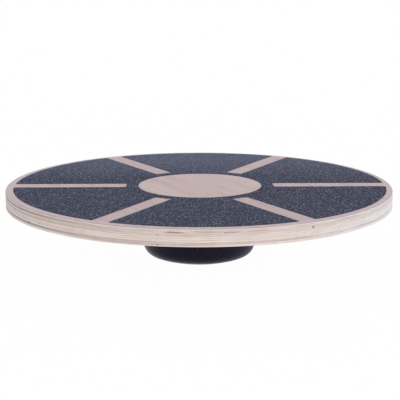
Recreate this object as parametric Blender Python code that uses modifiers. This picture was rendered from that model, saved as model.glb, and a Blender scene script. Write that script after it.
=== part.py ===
"""A wobble board: a round plywood deck with a grip sheet on it, screwed to a hollow moulded bowl.

Metres, +Z up. The origin lies under the deck's centre, where the bowl's flat pole meets the floor.
"""

from math import asin, atan2, cos, pi, radians, sin, sqrt, tan

import bmesh
import bpy
from mathutils import Matrix

# Plywood deck
DECK_RADIUS = 0.2000
FACE_VENEER = 0.00145
INNER_PLY = 0.00175
BACK_VENEER = 0.00220
GLUE_LINE = 0.0001
FACE_ARRIS_RADIUS = 0.0012
BACK_ARRIS_RADIUS = 0.0004

# Grip sheet, stuck by hand and so a little turned and off centre
SHEET_THICKNESS = 0.0004
RIM_WIDTH = 0.0070
SHEET_HOLE_RADIUS = 0.0640
SHEET_BAND = 0.0116
SLOT_COUNT = 6
SLOT_WIDTH = 0.0194
SHEET_TURN = radians(1.1)
SHEET_SHIFT_X = 0.0008
SHEET_SHIFT_Y = 0.0016

# Bowl: crown, shoulder and drafted wall, seen from outside
BOWL_DEPTH = 0.0630
BOWL_RADIUS = 0.0580
CROWN_RADIUS = 0.1500
POLE_FLAT_RADIUS = 0.0120
SHOULDER_RADIUS = 0.0120
WALL_DRAFT = radians(1.5)
BOWL_WALL = 0.0035

# Bowl: flange, hub and webs
FLANGE_WIDTH = 0.0180
FLANGE_THICKNESS = 0.0040
FLANGE_EDGE_RADIUS = 0.0010
FLANGE_FILLET = 0.0025
HUB_RADIUS = 0.0200
HUB_WALL = 0.0030
WEB_THICKNESS = 0.0025
WEB_DROP = 0.0005
GUSSET_REACH = 0.0120
GUSSET_HEIGHT = 0.0160

# Screws through the flange into the deck
SCREW_COUNT = 6
SCREW_RADIUS = 0.0020
SCREW_LENGTH = 0.0160
SCREW_POINT = 0.0035
HEAD_RADIUS = 0.0040
HEAD_HEIGHT = 0.0026
HEAD_RIM = 0.0008
RECESS_LENGTH = 0.0044
RECESS_WIDTH = 0.0009
RECESS_DEPTH = 0.0014
SEAT_DEPTH = 0.0012
SEAT_CLEARANCE = 0.0005

# Gap between pieces that touch, how far a cutter stands out, and the most of a ply that its arris takes
FIT_GAP = 0.0003
CUT_OVER = 0.0020
ARRIS_SHARE = 0.85

# Fineness of the round shapes
DECK_STEPS = 96
BOWL_STEPS = 64
SCREW_STEPS = 12
EDGE_STEPS = 3
SHOULDER_STEPS = 5
CROWN_STEPS = 7
HEAD_STEPS = 4
WELD_DISTANCE = 0.00001
SHARP_ANGLE = radians(30)

# Colours as display values out of 255, then roughness and metallic
SRGB_TOP = 255
SRGB_GAMMA = 2.2
LONG_WOOD = ((214, 198, 182), 0.55, 0.0)
CROSS_WOOD = ((184, 164, 148), 0.65, 0.0)
FACE_WOOD = ((198, 180, 172), 0.40, 0.0)
GRIT = ((72, 77, 91), 0.90, 0.0)
BLACK_PLASTIC = ((26, 25, 32), 0.35, 0.0)
ZINC = ((176, 178, 182), 0.35, 1.0)

# Plies from the back up: name, thickness and wood
PLIES = (
    ("back_veneer", BACK_VENEER, FACE_WOOD),
    ("lower_cross_ply", INNER_PLY, CROSS_WOOD),
    ("lower_long_ply", INNER_PLY, LONG_WOOD),
    ("lower_inner_cross_ply", INNER_PLY, CROSS_WOOD),
    ("core_ply", INNER_PLY, LONG_WOOD),
    ("upper_inner_cross_ply", INNER_PLY, CROSS_WOOD),
    ("upper_long_ply", INNER_PLY, LONG_WOOD),
    ("upper_cross_ply", INNER_PLY, CROSS_WOOD),
    ("face_veneer", FACE_VENEER, FACE_WOOD),
)

# Levels and radii that follow from the sizes above
DECK_THICKNESS = sum(ply[1] for ply in PLIES) + GLUE_LINE * (len(PLIES) - 1)
DECK_TOP = BOWL_DEPTH + DECK_THICKNESS
BOWL_TOP = BOWL_DEPTH - FIT_GAP
FLANGE_UNDER = BOWL_TOP - FLANGE_THICKNESS
SHEET_RADIUS = DECK_RADIUS - RIM_WIDTH
SLOT_START = SHEET_HOLE_RADIUS + SHEET_BAND
SEAT_RADIUS = HEAD_RADIUS + SEAT_CLEARANCE
HEAD_SEAT = FLANGE_UNDER + SEAT_DEPTH - FIT_GAP
HOLE_RADIUS = SCREW_RADIUS + FIT_GAP

# The crown is part of a sphere cut flat at the floor, and the shoulder rolls inside it
CROWN_CENTRE = sqrt(CROWN_RADIUS**2 - POLE_FLAT_RADIUS**2)
SHOULDER_CENTRE_R = BOWL_RADIUS - SHOULDER_RADIUS
SHOULDER_CENTRE_Z = CROWN_CENTRE - sqrt((CROWN_RADIUS - SHOULDER_RADIUS) ** 2 - SHOULDER_CENTRE_R**2)
CROWN_END_ANGLE = atan2(SHOULDER_CENTRE_Z - CROWN_CENTRE, SHOULDER_CENTRE_R)


def clear_scene():
    """Empty the open file, so that the script can be run again."""
    for obj in list(bpy.data.objects):
        bpy.data.objects.remove(obj, do_unlink=True)


def new_collection(name):
    collection = bpy.data.collections.new(name)
    bpy.context.scene.collection.children.link(collection)
    return collection


def new_material(name, look):
    """A plain material from a look: its display colour, roughness and metallic value."""
    colour, roughness, metallic = look
    material = bpy.data.materials.new(name)
    material.use_nodes = True
    shader = material.node_tree.nodes["Principled BSDF"]
    linear = [(value / SRGB_TOP) ** SRGB_GAMMA for value in colour]
    shader.inputs["Base Color"].default_value = (*linear, 1.0)
    shader.inputs["Roughness"].default_value = roughness
    shader.inputs["Metallic"].default_value = metallic
    return material


def arc(centre, radius, start, end, steps):
    """Points of (radius, height) along an arc of the profile, both ends included."""
    angles = [start + (end - start) * i / steps for i in range(steps + 1)]
    return [(centre[0] + radius * cos(a), centre[1] + radius * sin(a)) for a in angles]


def turned(name, points, steps, collection, closed=False):
    """A solid turned about the Z axis from a profile that runs down its outer side."""
    mesh = bpy.data.meshes.new(name)
    edges = [(i, i + 1) for i in range(len(points) - 1)]
    if closed:
        edges.append((len(points) - 1, 0))
    mesh.from_pydata([(r, 0.0, z) for r, z in points], edges, [])
    obj = bpy.data.objects.new(name, mesh)
    collection.objects.link(obj)
    screw = obj.modifiers.new("Turn", "SCREW")
    screw.axis = "Z"
    screw.steps = steps
    screw.render_steps = steps
    screw.use_merge_vertices = True
    screw.merge_threshold = WELD_DISTANCE
    return obj


def mesh_object(name, bm, collection):
    """Put what was built in bm into a new object."""
    mesh = bpy.data.meshes.new(name)
    bm.to_mesh(mesh)
    bm.free()
    obj = bpy.data.objects.new(name, mesh)
    collection.objects.link(obj)
    return obj


def as_cutter(obj):
    """Keep a helper shape out of renders and draw it as wires."""
    obj.hide_render = True
    obj.display_type = "WIRE"
    return obj


def combine(obj, other, operation):
    """Cut, join or intersect obj with another closed shape."""
    boolean = obj.modifiers.new(other.name, "BOOLEAN")
    boolean.operation = operation
    boolean.object = other
    boolean.solver = "EXACT"


def baked(obj):
    """Turn the modifiers' result into the object's own mesh, smooth with sharp corners."""
    bpy.context.view_layer.update()
    evaluated = obj.evaluated_get(bpy.context.evaluated_depsgraph_get())
    mesh = bpy.data.meshes.new_from_object(evaluated)
    mesh.name = obj.name
    mesh.shade_smooth()
    mesh.set_sharp_from_angle(angle=SHARP_ANGLE)
    obj.modifiers.clear()
    obj.data = mesh
    return obj


def ring_angles(count, first=0.0):
    return [first + 2 * pi * i / count for i in range(count)]


def posts(name, radius, low, high, collection):
    """Upright cylinders on the screw circle, as one cutter."""
    bm = bmesh.new()
    for angle in ring_angles(SCREW_COUNT):
        centre = (SCREW_CIRCLE * cos(angle), SCREW_CIRCLE * sin(angle), (low + high) / 2)
        bmesh.ops.create_cone(
            bm,
            cap_ends=True,
            segments=SCREW_STEPS,
            radius1=radius,
            radius2=radius,
            depth=high - low,
            matrix=Matrix.Translation(centre),
        )
    return as_cutter(mesh_object(name, bm, collection))


def blades(name, count, first, inner, outer, thickness, low, high, collection):
    """Flat upright boxes that run outwards from inner to outer radius, as one helper shape."""
    bm = bmesh.new()
    for angle in ring_angles(count, first):
        centre = ((inner + outer) / 2, 0.0, (low + high) / 2)
        size = (outer - inner, thickness, high - low, 1.0)
        place = Matrix.Rotation(angle, 4, "Z") @ Matrix.Translation(centre) @ Matrix.Diagonal(size)
        bmesh.ops.create_cube(bm, size=1.0, matrix=place)
    return as_cutter(mesh_object(name, bm, collection))


def wall_radius(height, inset=0.0):
    """The drafted wall's radius at a height, moved in by inset."""
    reach = SHOULDER_RADIUS - inset
    start_r = SHOULDER_CENTRE_R + reach * cos(WALL_DRAFT)
    start_z = SHOULDER_CENTRE_Z - reach * sin(WALL_DRAFT)
    return start_r + (height - start_z) * tan(WALL_DRAFT)


def crown_height(radius, inset=0.0):
    """The crown's height at a radius, moved in by inset."""
    return CROWN_CENTRE - sqrt((CROWN_RADIUS - inset) ** 2 - radius**2)


def bowl_side(top, inset=0.0):
    """The bowl's profile from a height on its wall down to the axis, moved in by inset."""
    shoulder_centre = (SHOULDER_CENTRE_R, SHOULDER_CENTRE_Z)
    shoulder = arc(shoulder_centre, SHOULDER_RADIUS - inset, -WALL_DRAFT, CROWN_END_ANGLE, SHOULDER_STEPS)
    flat_radius = POLE_FLAT_RADIUS if inset == 0 else 0.0
    crown_stop = asin(flat_radius / CROWN_RADIUS) - pi / 2
    crown = arc((0.0, CROWN_CENTRE), CROWN_RADIUS - inset, CROWN_END_ANGLE, crown_stop, CROWN_STEPS)
    if inset == 0:
        crown.append((0.0, crown[-1][1]))
    return [(wall_radius(top, inset), top)] + shoulder + crown[1:]


def flange_side():
    """The flange's profile from its top edge round to where it runs into the wall."""
    fillet_height = FLANGE_UNDER - FLANGE_FILLET
    fillet_r = wall_radius(fillet_height) + FLANGE_FILLET
    edge_r = FLANGE_RADIUS - FLANGE_EDGE_RADIUS
    top_edge = arc((edge_r, BOWL_TOP - FLANGE_EDGE_RADIUS), FLANGE_EDGE_RADIUS, pi / 2, 0.0, EDGE_STEPS)
    low_edge = arc((edge_r, FLANGE_UNDER + FLANGE_EDGE_RADIUS), FLANGE_EDGE_RADIUS, 0.0, -pi / 2, EDGE_STEPS)
    fillet = arc((fillet_r, fillet_height), FLANGE_FILLET, pi / 2, pi, EDGE_STEPS)
    return top_edge + low_edge + fillet[:-1]


# The flange and its screws lie outside the wall
FLANGE_RADIUS = wall_radius(BOWL_TOP) + FLANGE_WIDTH
SCREW_CIRCLE = (wall_radius(FLANGE_UNDER) + FLANGE_FILLET + FLANGE_RADIUS - FLANGE_EDGE_RADIUS) / 2


def ply_profile(low, high, top_arris, back_arris):
    """A disc's profile, with its top or back edge rounded where an arris is given."""
    points = [(0.0, high)]
    if top_arris:
        points += arc((DECK_RADIUS - top_arris, high - top_arris), top_arris, pi / 2, 0.0, EDGE_STEPS)
    else:
        points.append((DECK_RADIUS, high))
    if back_arris:
        points += arc((DECK_RADIUS - back_arris, low + back_arris), back_arris, 0.0, -pi / 2, EDGE_STEPS)
    else:
        points.append((DECK_RADIUS, low))
    return points + [(0.0, low)]


def make_deck(model, cutters):
    """Nine plies, each a disc, with pilot holes for the screws from below."""
    pilot_top = HEAD_SEAT + SCREW_LENGTH + FIT_GAP
    pilots = posts("pilot_holes", HOLE_RADIUS, BOWL_DEPTH - CUT_OVER, pilot_top, cutters)
    low = BOWL_DEPTH
    for index, (name, thickness, wood) in enumerate(PLIES):
        high = low + thickness
        most = thickness * ARRIS_SHARE
        top_arris = min(FACE_ARRIS_RADIUS, most) if index == len(PLIES) - 1 else 0.0
        back_arris = min(BACK_ARRIS_RADIUS, most) if index == 0 else 0.0
        ply = turned(name, ply_profile(low, high, top_arris, back_arris), DECK_STEPS, model)
        if low < pilot_top:
            combine(ply, pilots, "DIFFERENCE")
        baked(ply).data.materials.append(new_material(name + "_wood", wood))
        low = high + GLUE_LINE


def make_grip_sheet(model, cutters):
    """One round sheet with a hole in the middle and open slots, laid on the face veneer."""
    low = DECK_TOP + GLUE_LINE
    high = low + SHEET_THICKNESS
    ring = [(SHEET_HOLE_RADIUS, high), (SHEET_RADIUS, high), (SHEET_RADIUS, low), (SHEET_HOLE_RADIUS, low)]
    sheet = turned("grip_sheet", ring, DECK_STEPS, model, closed=True)
    slots = blades(
        "slot_cutter",
        SLOT_COUNT,
        0.0,
        SLOT_START,
        SHEET_RADIUS + CUT_OVER,
        SLOT_WIDTH,
        low - CUT_OVER,
        high + CUT_OVER,
        cutters,
    )
    combine(sheet, slots, "DIFFERENCE")
    baked(sheet).data.materials.append(new_material("grip_grit", GRIT))
    sheet.rotation_euler.z = SHEET_TURN
    sheet.location = (SHEET_SHIFT_X, SHEET_SHIFT_Y, 0.0)


def web_envelope(cutters):
    """What the radial webs fill: the bowl's inside, and a sloping gusset under the flange."""
    gusset_foot = FLANGE_UNDER - GUSSET_HEIGHT
    reach = wall_radius(FLANGE_UNDER) + GUSSET_REACH
    rim = [(0.0, BOWL_TOP - WEB_DROP), (reach, BOWL_TOP - WEB_DROP), (reach, FLANGE_UNDER + WEB_DROP)]
    side = bowl_side(gusset_foot, BOWL_WALL / 2)
    return as_cutter(turned("web_envelope", rim + side, BOWL_STEPS, cutters))


def make_webs(cutters):
    """Radial webs between the screws, from the hub through the wall to the flange."""
    webs = blades(
        "webs",
        SCREW_COUNT,
        pi / SCREW_COUNT,
        HUB_RADIUS - HUB_WALL / 2,
        FLANGE_RADIUS,
        WEB_THICKNESS,
        0.0,
        BOWL_TOP,
        cutters,
    )
    combine(webs, web_envelope(cutters), "INTERSECT")
    return webs


def make_hub(cutters):
    """A tube in the middle of the bowl that bears on the deck above the pole."""
    inner = HUB_RADIUS - HUB_WALL
    foot = crown_height(HUB_RADIUS - HUB_WALL / 2, BOWL_WALL / 2)
    ring = [(inner, BOWL_TOP), (HUB_RADIUS, BOWL_TOP), (HUB_RADIUS, foot), (inner, foot)]
    return as_cutter(turned("hub", ring, BOWL_STEPS, cutters, closed=True))


def make_bowl(model, cutters):
    """The moulded bowl in one piece: shell, flange, hub, webs and counterbored screw holes."""
    inside = bowl_side(BOWL_TOP, BOWL_WALL)
    inside.reverse()
    outside = bowl_side(FLANGE_UNDER - FLANGE_FILLET)
    bowl = turned("base_bowl", inside + flange_side() + outside, BOWL_STEPS, model)
    combine(bowl, make_hub(cutters), "UNION")
    combine(bowl, make_webs(cutters), "UNION")
    holes = posts("flange_holes", HOLE_RADIUS, FLANGE_UNDER - CUT_OVER, BOWL_TOP + CUT_OVER, cutters)
    combine(bowl, holes, "DIFFERENCE")
    seats = posts("screw_seats", SEAT_RADIUS, FLANGE_UNDER - CUT_OVER, FLANGE_UNDER + SEAT_DEPTH, cutters)
    combine(bowl, seats, "DIFFERENCE")
    baked(bowl).data.materials.append(new_material("bowl_plastic", BLACK_PLASTIC))


def screw_profile():
    """Point, shank and domed head of a wood screw that stands point up on its head."""
    dome = HEAD_HEIGHT - HEAD_RIM
    turns = [pi / 2 * i / HEAD_STEPS for i in range(HEAD_STEPS + 1)]
    head = [(HEAD_RADIUS * cos(a), -HEAD_RIM - dome * sin(a)) for a in turns[:-1]]
    shank = [(0.0, SCREW_LENGTH), (SCREW_RADIUS, SCREW_LENGTH - SCREW_POINT), (SCREW_RADIUS, 0.0)]
    return shank + [(HEAD_RADIUS, 0.0)] + head + [(0.0, -HEAD_HEIGHT)]


def make_screws(model, cutters):
    """One screw with a cross recess, then its copies round the flange."""
    first = turned("flange_screw_1", screw_profile(), SCREW_STEPS, model)
    low = -HEAD_HEIGHT - CUT_OVER
    high = RECESS_DEPTH - HEAD_HEIGHT
    for index in range(2):
        turn = index * pi / 2
        half = RECESS_LENGTH / 2
        slot = blades("recess", 1, turn, -half, half, RECESS_WIDTH, low, high, cutters)
        combine(first, slot, "DIFFERENCE")
    baked(first).data.materials.append(new_material("screw_zinc", ZINC))
    for index, angle in enumerate(ring_angles(SCREW_COUNT), start=1):
        screw = first
        if index > 1:
            screw = bpy.data.objects.new("flange_screw_" + str(index), first.data)
            model.objects.link(screw)
        screw.location = (SCREW_CIRCLE * cos(angle), SCREW_CIRCLE * sin(angle), HEAD_SEAT)


def main():
    clear_scene()
    model = new_collection("wobble_board")
    cutters = new_collection("cutters")
    make_deck(model, cutters)
    make_grip_sheet(model, cutters)
    make_bowl(model, cutters)
    make_screws(model, cutters)


main()
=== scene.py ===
# %% [markdown]
# # A wobble board
# The board is a round plywood deck with a grit sheet on top, screwed to a black moulded bowl that
# it rocks and turns on. This file dresses the measured model of it, one piece at a time. Each
# piece is modelled the way it would be made by hand, gets its own procedural finish, and sits
# exactly where the measured model has it.

# %% Load the measured model
from math import asin, atan2, cos, hypot, pi, radians, sin, sqrt, tan

import bpy
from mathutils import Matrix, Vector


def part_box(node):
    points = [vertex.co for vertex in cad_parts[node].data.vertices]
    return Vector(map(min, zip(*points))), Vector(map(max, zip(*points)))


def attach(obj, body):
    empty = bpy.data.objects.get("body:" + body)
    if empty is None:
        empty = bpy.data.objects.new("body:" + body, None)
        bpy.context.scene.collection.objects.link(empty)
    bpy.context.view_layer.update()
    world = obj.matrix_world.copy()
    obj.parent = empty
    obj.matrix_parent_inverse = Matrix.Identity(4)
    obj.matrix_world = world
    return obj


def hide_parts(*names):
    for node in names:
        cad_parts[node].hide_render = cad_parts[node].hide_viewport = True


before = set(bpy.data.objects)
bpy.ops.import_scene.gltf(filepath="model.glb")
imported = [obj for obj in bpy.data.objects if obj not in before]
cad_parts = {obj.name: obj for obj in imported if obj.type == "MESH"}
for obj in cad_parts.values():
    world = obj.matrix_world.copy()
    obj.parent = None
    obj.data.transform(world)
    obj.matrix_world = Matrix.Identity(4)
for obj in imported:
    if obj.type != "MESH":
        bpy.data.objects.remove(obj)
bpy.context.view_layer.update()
print("measured nodes:", len(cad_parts))

# %% [markdown]
# ## Camera
# The photograph was taken from a little above the deck with a long lens. The deck's ellipse gives
# the distance, the height and the lens, so the camera is placed by those numbers rather than by
# eye. A long lens keeps the back rim nearly as wide as the front one.

# %% Place the camera
DECK_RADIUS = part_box("core_ply")[1].x
DECK_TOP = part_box("face_veneer")[1].z
VIEW_DISTANCE = 1.400
VIEW_RISE = radians(11.3274)
VIEW_PITCH = radians(11.946)
VIEW_SIDE = 0.000943
FOCAL_PIXELS = 1342.6
PHOTO_WIDTH = 400
SENSOR = 36.0


def added(name, data):
    """A new object in the scene."""
    obj = bpy.data.objects.new(name, data)
    bpy.context.scene.collection.objects.link(obj)
    return obj


def place_camera():
    """Stand the camera in front of the board and a little above it."""
    lens = bpy.data.cameras.new("camera")
    lens.sensor_width = SENSOR
    lens.lens = SENSOR * FOCAL_PIXELS / PHOTO_WIDTH
    camera = added("camera", lens)
    away = VIEW_DISTANCE * cos(VIEW_RISE)
    above = VIEW_DISTANCE * sin(VIEW_RISE)
    camera.location = (VIEW_SIDE, -away, DECK_TOP + above)
    camera.rotation_euler = (pi / 2 - VIEW_PITCH, 0.0, 0.0)
    bpy.context.scene.camera = camera
    bpy.context.scene.view_settings.view_transform = "Standard"
    print("camera at", [round(v, 3) for v in camera.location], "lens", round(lens.lens, 1), "mm")


place_camera()

# %% [markdown]
# ## Modelling tools
# Most pieces of this board are round, so one tool draws a round piece ring by ring: a circle is
# extruded and resized along a profile. The profile could be spun instead, but rings stay fast
# with a thousand points round the deck. Open ends are filled last.


# %% Select and place
def deselect():
    """Let go of all objects, since an operator acts on everything that is selected."""
    bpy.ops.object.select_all(action="DESELECT")


def take(obj):
    """Make this the only selected object, and the active one."""
    deselect()
    obj.select_set(True)
    bpy.context.view_layer.objects.active = obj


def settle(obj, turn=0.0, place=(0.0, 0.0, 0.0)):
    """Turn and move a piece, and put the result into its mesh."""
    take(obj)
    obj.rotation_euler.z = turn
    obj.location = place
    bpy.ops.object.transform_apply(location=True, rotation=True, scale=True)


def copied(obj, name):
    """A copy with a mesh of its own."""
    twin = obj.copy()
    twin.data = obj.data.copy()
    twin.name = twin.data.name = name
    bpy.context.scene.collection.objects.link(twin)
    return twin


def joined(parts):
    """Several objects made one."""
    take(parts[0])
    for part in parts[1:]:
        part.select_set(True)
    bpy.ops.object.join()
    return parts[0]


def painted(obj, material):
    """Give a piece this material and no other."""
    obj.data.materials.clear()
    obj.data.materials.append(material)


# %% Draw a round piece ring by ring
WELD = 0.000004
SMOOTH_ANGLE = radians(35)


def open_mesh():
    """Go into edit mode with every point selected."""
    bpy.ops.object.mode_set(mode="EDIT")
    bpy.ops.mesh.select_mode(type="VERT")
    bpy.ops.mesh.select_all(action="SELECT")


def shut_mesh():
    """Turn every face outwards and leave edit mode."""
    bpy.ops.mesh.select_all(action="SELECT")
    bpy.ops.mesh.normals_make_consistent(inside=False)
    bpy.ops.object.mode_set(mode="OBJECT")


def first_ring(name, count, radius, height):
    """An open circle in edit mode, all selected."""
    deselect()
    bpy.ops.mesh.primitive_circle_add(vertices=count, radius=radius, location=(0.0, 0.0, height))
    bpy.ops.object.transform_apply(location=True)
    obj = bpy.context.object
    obj.name = obj.data.name = name
    open_mesh()
    return obj


def next_ring(here, there):
    """Extrude the selected ring to the next point of a profile."""
    bpy.ops.mesh.extrude_edges_move(TRANSFORM_OT_translate={"value": (0.0, 0.0, there[1] - here[1])})
    grow = there[0] / here[0]
    bpy.ops.transform.resize(value=(grow, grow, 1.0), center_override=(0.0, 0.0, 0.0))


def finish_shell(obj):
    """Weld, fill open ends, turn faces outwards and shade smooth between sharp corners."""
    bpy.ops.mesh.select_all(action="SELECT")
    bpy.ops.mesh.remove_doubles(threshold=WELD)
    bpy.ops.mesh.fill_holes(sides=0)
    shut_mesh()
    bpy.ops.object.shade_smooth_by_angle(angle=SMOOTH_ANGLE)


def drawn_round(name, profile, count):
    """A round piece from a profile of (radius, height) points."""
    obj = first_ring(name, count, *profile[0])
    for here, there in zip(profile, profile[1:]):
        next_ring(here, there)
    finish_shell(obj)
    return obj


def arc(centre_r, centre_z, radius, start, end, steps):
    """Points round a corner of a profile, both ends included."""
    turns = [start + (end - start) * i / steps for i in range(steps + 1)]
    return [(centre_r + radius * cos(a), centre_z + radius * sin(a)) for a in turns]


# %% Apply a modifier
def applied(obj, kind, **settings):
    """Add a modifier with these settings and apply it at once."""
    take(obj)
    modifier = obj.modifiers.new(kind.title(), kind)
    for key, value in settings.items():
        setattr(modifier, key, value)
    bpy.ops.object.modifier_apply(modifier=modifier.name)


def combined(obj, other, operation):
    """Join or cut with another closed shape, which is used up."""
    applied(obj, "BOOLEAN", object=other, operation=operation, solver="EXACT")
    bpy.data.objects.remove(other, do_unlink=True)


def welded(obj):
    """Close the hair-thin slits that Booleans leave, and shade again."""
    take(obj)
    open_mesh()
    bpy.ops.mesh.remove_doubles(threshold=WELD)
    bpy.ops.mesh.dissolve_degenerate(threshold=WELD / 4)
    bpy.ops.object.mode_set(mode="OBJECT")
    bpy.ops.object.shade_smooth_by_angle(angle=SMOOTH_ANGLE)


def post(name, count, radius, low, high, out=0.0):
    """An upright round bar to bore or join with, some way out along X."""
    obj = drawn_round(name, [(radius, low), (radius, high)], count)
    settle(obj, place=(out, 0.0, 0.0))
    return obj


# %% [markdown]
# ## Wiring materials
# Materials here are node trees built in code. A few short tools keep them readable: one feeds a
# socket from another socket or a plain value, and the others add the common nodes.


# %% Feed sockets, and sums
def feed(tree, value, socket):
    """Link a socket to another one, or set it to a plain value."""
    if isinstance(value, bpy.types.NodeSocket):
        tree.links.new(value, socket)
    else:
        socket.default_value = value


def fed(tree, node, **values):
    """Feed a node's sockets by their names, with underscores for spaces."""
    for label, value in values.items():
        feed(tree, value, node.inputs[label.replace("_", " ")])
    return node


def wired(tree, kind, *values, **named):
    """A new node, its first sockets fed in order and others by their names."""
    made = tree.nodes.new("ShaderNode" + kind)
    for value, socket in zip(values, made.inputs):
        feed(tree, value, socket)
    return fed(tree, made, **named)


def sums(tree, operation, *values):
    """The result of a Math node."""
    made = wired(tree, "Math", *values)
    made.operation = operation
    return made.outputs[0]


def times(tree, first, second):
    return sums(tree, "MULTIPLY", first, second)


def between(tree, value, low, high, out_low=0.0, out_high=1.0):
    """A value stretched from one range to another, and kept inside it."""
    return wired(tree, "MapRange", value, low, high, out_low, out_high).outputs["Result"]


# %% Mix colours
def colour(red, green, blue):
    """A display colour out of 255 as the linear colour that a shader takes."""
    return tuple((c / 255) ** 2.2 for c in (red, green, blue)) + (1.0,)


def mixed(tree, amount, first, second, blend="MIX"):
    """Two colours mixed by an amount."""
    made = tree.nodes.new("ShaderNodeMix")
    made.data_type = "RGBA"
    made.blend_type = blend
    for value, index in zip((amount, first, second), (0, 6, 7)):
        feed(tree, value, made.inputs[index])
    return made.outputs[2]


# %% Noise and coordinates
def noise(tree, vector, scale, detail=2.0, roughness=0.5, distortion=0.0):
    """The grey value of a Noise texture, whose scale is in features a metre."""
    shape = {"Scale": scale, "Detail": detail, "Roughness": roughness, "Distortion": distortion}
    return wired(tree, "TexNoise", vector, **shape).outputs["Fac"]


def patches(tree, vector, scale, detail, roughness, *span):
    """Noise stretched to a range, so that its peaks stand apart."""
    return between(tree, noise(tree, vector, scale, detail, roughness), *span)


def stretched(tree, vector, scale, turn=0.0):
    """Coordinates turned about Z, then scaled, by two Mapping nodes."""
    turned = wired(tree, "Mapping", vector, Rotation=(0.0, 0.0, turn)).outputs[0]
    return wired(tree, "Mapping", turned, Scale=scale).outputs[0]


def apart(tree, vector):
    """The X, Y and Z of a vector."""
    return wired(tree, "SeparateXYZ", vector).outputs[:]


def hypotenuse(tree, *sides):
    """The length of a slope with these two sides."""
    squares = [sums(tree, "POWER", side, 2.0) for side in sides]
    return sums(tree, "SQRT", sums(tree, "ADD", *squares))


def from_axis(tree, vector):
    """The distance from the board's upright axis."""
    return hypotenuse(tree, *apart(tree, vector)[:2])


# %% Start a group or a material
def new_group(name, inputs, outputs):
    """A shader group that takes a place, and colours or values by their defaults, and its sockets."""
    print("group:", name)
    tree = bpy.data.node_groups.new(name, "ShaderNodeTree")
    tree.interface.new_socket("Vector", in_out="INPUT", socket_type="NodeSocketVector")
    for label, value in inputs.items():
        kind = "NodeSocketFloat" if isinstance(value, float) else "NodeSocketColor"
        tree.interface.new_socket(label, in_out="INPUT", socket_type=kind).default_value = value
    for label in outputs:
        kind = "NodeSocketColor" if label == "Color" else "NodeSocketFloat"
        tree.interface.new_socket(label, in_out="OUTPUT", socket_type=kind)
    return tree, tree.nodes.new("NodeGroupInput").outputs, tree.nodes.new("NodeGroupOutput").inputs


# How strongly wood, lacquer and plastic bend light
IOR = 1.45


def new_material(name, **values):
    """A material, its tree and its shader, with plain values on the shader's own sockets."""
    material = bpy.data.materials.new(name)
    material.use_nodes = True
    tree = material.node_tree
    return material, tree, fed(tree, tree.nodes["Principled BSDF"], **values)


def object_place(tree):
    return wired(tree, "TexCoord").outputs["Object"]


def use_group(tree, group, **values):
    """Place a group in a tree with its own values or links."""
    made = tree.nodes.new("ShaderNodeGroup")
    made.node_tree = group
    return fed(tree, made, **values).outputs


def dress(tree, shader, shade, rough, height, distance, strength):
    """Feed the shader's colour and roughness, and its normal from a height through a Bump node."""
    bump = wired(tree, "Bump", Strength=strength, Distance=distance, Height=height)
    fed(tree, shader, Base_Color=shade, Roughness=rough, Normal=bump.outputs[0])


# %% [markdown]
# ## Stage
# The photograph has a pure white ground. The floor is pale and takes light like any surface, but
# what the camera and the reflections see of it is mostly plain white, so that only a trace of the
# board's shadow stays. Suns with a wide angle light it evenly, which lamps near the board would
# not do, and the world adds soft light from all round.

# %% White to the camera, plain to the light
FLOOR_HALF = 30.0
FLOOR_WHITE = 0.98
FLOOR_COLOUR = (0.95, 0.95, 0.96, 1.0)


def seen_directly(tree):
    """One for camera, glossy and transmission rays, zero for the rays that light the object."""
    rays = wired(tree, "LightPath").outputs
    either = sums(tree, "MAXIMUM", rays["Is Camera Ray"], rays["Is Glossy Ray"])
    return sums(tree, "MAXIMUM", either, rays["Is Transmission Ray"])


def either_shader(tree, amount, plain, white, output):
    """Send a mix of two shaders to the tree's output."""
    mix = wired(tree, "MixShader", amount, plain.outputs[0], white.outputs[0])
    fed(tree, tree.nodes[output], Surface=mix.outputs[0])


def make_floor():
    deselect()
    bpy.ops.mesh.primitive_plane_add(size=2 * FLOOR_HALF)
    floor = bpy.context.object
    floor.name = "studio_floor"
    material, tree, shader = new_material("floor_paper", Base_Color=FLOOR_COLOUR, Roughness=0.9)
    amount = times(tree, seen_directly(tree), FLOOR_WHITE)
    either_shader(tree, amount, shader, wired(tree, "Emission"), "Material Output")
    floor.data.materials.append(material)


make_floor()

# %% Soft light from all round
SKY_COLOUR = (0.96, 0.97, 1.0, 1.0)
SKY_LEVEL = 0.5


def make_world():
    world = bpy.data.worlds.new("studio")
    bpy.context.scene.world = world
    world.use_nodes = True
    tree = world.node_tree
    soft = fed(tree, tree.nodes["Background"], Color=SKY_COLOUR, Strength=SKY_LEVEL)
    white = wired(tree, "Background", Color=(1.0, 1.0, 1.0, 1.0))
    either_shader(tree, seen_directly(tree), soft, white, "World Output")


make_world()

# %% Broad suns
WARM = (1.0, 0.985, 0.96)
WINDOW = (0.76, 0.88, 1.0)

# Name, strength, colour, width of the sun, how far it leans from upright and the side it comes from
SUNS = (
    ("back_light", 0.9, WARM, 60, 42, 90),
    ("key_light", 1.3, WARM, 45, 62, -68),
    ("side_light", 0.93, WINDOW, 35, 75, 5),
    ("fill_light", 0.4, WINDOW, 60, 75, 190),
)


def make_suns():
    for name, level, tint, width, lean, side in SUNS:
        lamp = bpy.data.lights.new(name, "SUN")
        lamp.energy = level
        lamp.color = tint
        lamp.angle = radians(width)
        added(name, lamp).rotation_euler = (0.0, radians(lean), radians(side))
        print(name, "at", lean, "degrees from upright")


make_suns()

# %% [markdown]
# ## Fine scuffs
# Anything that is stood on or rubs the floor picks up hair scratches. They lie in all
# directions, so the group stretches the same noise three ways and keeps only its thin peaks. It
# puts out a mask, which each material uses for a slightly rougher and paler line.

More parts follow.
